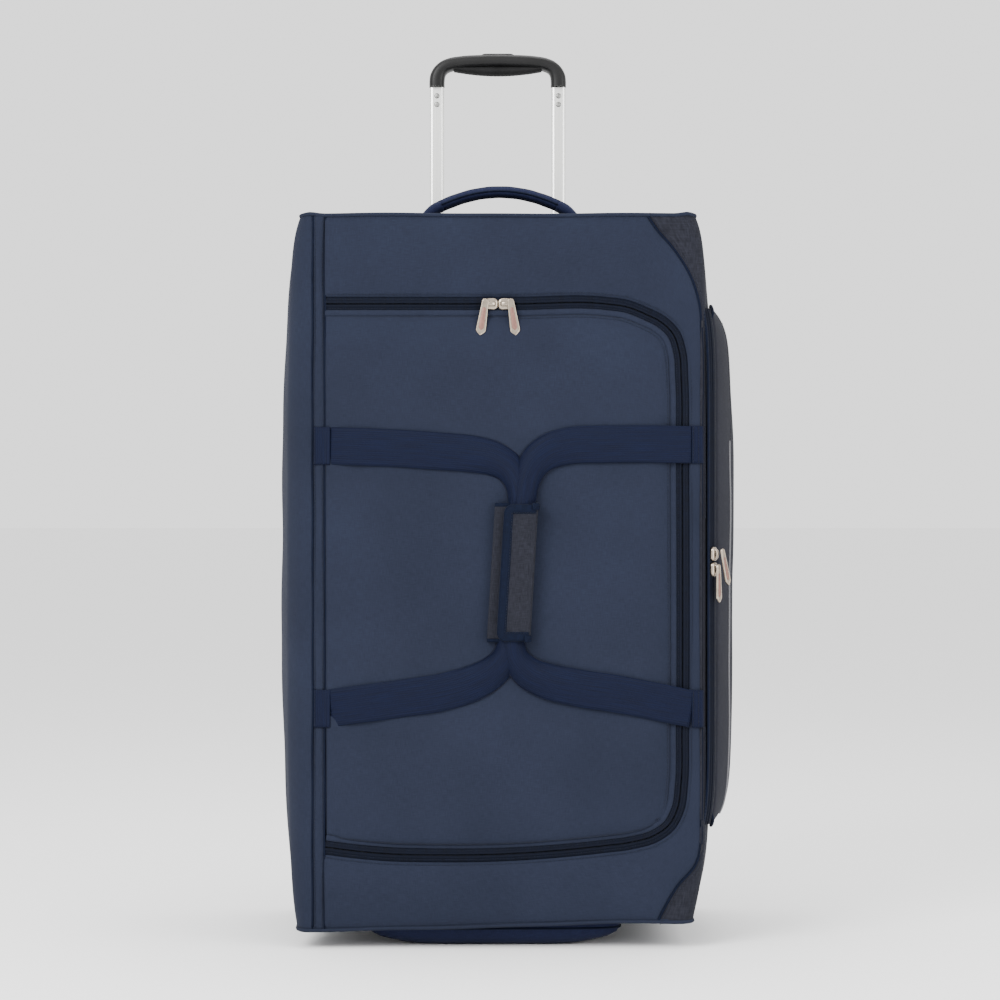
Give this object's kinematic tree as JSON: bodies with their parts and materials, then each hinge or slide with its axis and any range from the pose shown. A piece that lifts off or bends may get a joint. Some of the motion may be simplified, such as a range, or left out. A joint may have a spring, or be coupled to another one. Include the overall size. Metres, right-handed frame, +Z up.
{
  "type": "rolling duffel bag",
  "caption": "Upright rolling duffel bag with a wide zipped lid, side pocket, padded carry handles, wrapped grab straps, telescoping trolley handle and rear corner wheels.",
  "frame": {"origin": "centre of the bounding box's base, on the floor the bag stands on", "axes": "+Z up along the bag's length, +X towards the side pocket, +Y from the lid towards the trolley side"},
  "size_m": [0.4658, 0.3304, 0.9378],
  "materials": {
    "navy_fabric": "woven heathered polyester, matt",
    "charcoal_fabric": "melange woven polyester, matt",
    "webbing": "woven webbing, satin",
    "handle_fabric": "padded woven fabric",
    "foot_fabric": "coated fabric",
    "zip_tape": "coil zip tape",
    "board": "stiffening sheet",
    "black_plastic": "fine texture, matt",
    "wheel_rubber": "moulded tread",
    "steel": "zinc plated",
    "aluminium": "satin anodised",
    "champagne_metal": "satin champagne plating"
  },
  "bodies": {
    "bag_body": {"back_board": "board", "back_panel": "navy_fabric", "corner_patch_lower": "charcoal_fabric", "corner_patch_upper": "charcoal_fabric", "end_panel_bottom": "navy_fabric", "end_panel_top": "navy_fabric", "front_band": "navy_fabric", "front_panel": "navy_fabric", "kick_plate": "black_plastic", "main_zip_tape_frame": "zip_tape", "pocket_zip_tape": "zip_tape", "rear_skid_left": "black_plastic", "rear_skid_right": "black_plastic", "side_panel_left": "navy_fabric", "side_panel_right": "charcoal_fabric", "standing_foot": "foot_fabric", "trolley_base_bracket": "black_plastic", "trolley_bezel": "black_plastic", "trolley_outer_tube_left": "aluminium", "trolley_outer_tube_right": "aluminium", "wheel_axle_left": "steel", "wheel_axle_right": "steel", "wheel_housing_left": "black_plastic", "wheel_housing_right": "black_plastic"},
    "wheel_left": {"tyre_left": "wheel_rubber", "wheel_hub_left": "black_plastic", "wheel_bearing_left": "steel"},
    "wheel_right": {"tyre_right": "wheel_rubber", "wheel_hub_right": "black_plastic", "wheel_bearing_right": "steel"},
    "trolley": {"trolley_inner_tube_left": "aluminium", "trolley_inner_tube_right": "aluminium", "lock_block_left": "black_plastic", "lock_block_right": "black_plastic", "trolley_rivet_left_lower": "steel", "trolley_rivet_left_upper": "steel", "trolley_rivet_right_lower": "steel", "trolley_rivet_right_upper": "steel", "trolley_grip": "black_plastic", "grip_finger_pad": "black_plastic", "button_spring": "steel"},
    "trolley_button": {"release_button": "black_plastic", "push_rod_left": "steel", "push_rod_right": "steel"},
    "carry_handle": {"top_handle": "handle_fabric"},
    "lid": {"lid_panel": "navy_fabric", "main_zip_tape_lid": "zip_tape"},
    "main_zip_slider_left": {"main_slider_left": "champagne_metal"},
    "main_zip_slider_right": {"main_slider_right": "champagne_metal"},
    "main_zip_pull_left": {"main_pull_left": "champagne_metal"},
    "main_zip_pull_right": {"main_pull_right": "champagne_metal"},
    "grab_handle_left": {"grab_strap_left": "webbing", "grip_wrap": "charcoal_fabric"},
    "wrap_flap": {"grip_flap": "charcoal_fabric"},
    "grab_handle_right": {"grab_strap_right": "webbing"},
    "side_pocket": {"pocket_panel": "charcoal_fabric"},
    "pocket_zip_slider_upper": {"pocket_slider_upper": "champagne_metal"},
    "pocket_zip_slider_lower": {"pocket_slider_lower": "champagne_metal"},
    "pocket_zip_pull_upper": {"pocket_pull_upper": "champagne_metal"},
    "pocket_zip_pull_lower": {"pocket_pull_lower": "champagne_metal"}
  },
  "joints": [
    {"name": "wheel_left_spin", "type": "hinge", "parent": "bag_body", "child": "wheel_left", "pos_m": [-0.18936, 0.12665, 0.038], "axis": [1, 0, 0], "continuous": true},
    {"name": "wheel_right_spin", "type": "hinge", "parent": "bag_body", "child": "wheel_right", "pos_m": [0.16864, 0.12665, 0.038], "axis": [1, 0, 0], "continuous": true},
    {"name": "trolley_slide", "type": "slide", "parent": "bag_body", "child": "trolley", "axis": [0, 0, 1], "range_m": [-0.161, 0.12]},
    {"name": "button_press", "type": "slide", "parent": "trolley", "child": "trolley_button", "axis": [0, 0, -1], "range_m": [0, 0.004], "stiffness_N_per_m": 800, "springref_m": -0.005, "deforming": ["button_spring"]},
    {"name": "carry_handle_fold", "type": "hinge", "parent": "bag_body", "child": "carry_handle", "pos_m": [-0.00936, 0.00665, 0.7368], "axis": [1, 0, 0], "range_deg": [-60, 60]},
    {"name": "lid_open", "type": "hinge", "parent": "bag_body", "child": "lid", "pos_m": [-0.18286, -0.14335, 0.3725], "axis": [0, 0, -1], "range_deg": [0, 110]},
    {"name": "main_zip_left_run", "type": "slide", "parent": "lid", "child": "main_zip_slider_left", "axis": [-1, 0, 0], "range_m": [0, 0.145]},
    {"name": "main_zip_right_run", "type": "slide", "parent": "lid", "child": "main_zip_slider_right", "axis": [1, 0, 0], "range_m": [0, 0.115]},
    {"name": "main_pull_left_lift", "type": "hinge", "parent": "main_zip_slider_left", "child": "main_zip_pull_left", "pos_m": [-0.02236, -0.14935, 0.6475], "axis": [-1, 0, 0], "range_deg": [0, 150]},
    {"name": "main_pull_right_lift", "type": "hinge", "parent": "main_zip_slider_right", "child": "main_zip_pull_right", "pos_m": [0.00264, -0.14935, 0.6475], "axis": [-1, 0, 0], "range_deg": [0, 150]},
    {"name": "grab_left_lift", "type": "hinge", "parent": "lid", "child": "grab_handle_left", "pos_m": [-0.18286, -0.14535, 0.379], "axis": [0, 0, -1], "range_deg": [0, 60], "deforming": ["grab_strap_left"]},
    {"name": "wrap_flap_open", "type": "hinge", "parent": "grab_handle_left", "child": "wrap_flap", "pos_m": [0.02464, -0.16165, 0.379], "axis": [0.0599, 0, 0.9982], "range_deg": [0, 120]},
    {"name": "grab_right_lift", "type": "hinge", "parent": "bag_body", "child": "grab_handle_right", "pos_m": [0.18464, -0.14535, 0.379], "axis": [0, 0, 1], "range_deg": [0, 143], "deforming": ["grab_strap_right"]},
    {"name": "pocket_open", "type": "hinge", "parent": "bag_body", "child": "side_pocket", "pos_m": [0.21084, 0.09265, 0.3825], "axis": [0, 0, 1], "range_deg": [0, 60]},
    {"name": "pocket_zip_upper_run", "type": "slide", "parent": "side_pocket", "child": "pocket_zip_slider_upper", "axis": [0, 0, 1], "range_m": [0, 0.2]},
    {"name": "pocket_zip_lower_run", "type": "slide", "parent": "side_pocket", "child": "pocket_zip_slider_lower", "axis": [0, 0, -1], "range_m": [0, 0.22]},
    {"name": "pocket_pull_upper_lift", "type": "hinge", "parent": "pocket_zip_slider_upper", "child": "pocket_zip_pull_upper", "pos_m": [0.21433, -0.13785, 0.398], "axis": [-0.6157, -0.788, 0], "range_deg": [0, 120]},
    {"name": "pocket_pull_lower_lift", "type": "hinge", "parent": "pocket_zip_slider_lower", "child": "pocket_zip_pull_lower", "pos_m": [0.21027, -0.13849, 0.3825], "axis": [-0.6157, -0.788, 0], "range_deg": [0, 120]}
  ],
  "couplings": [
    {"joint": "grab_right_lift", "follows": "lid_open", "ratio": 1.3}
  ]
}
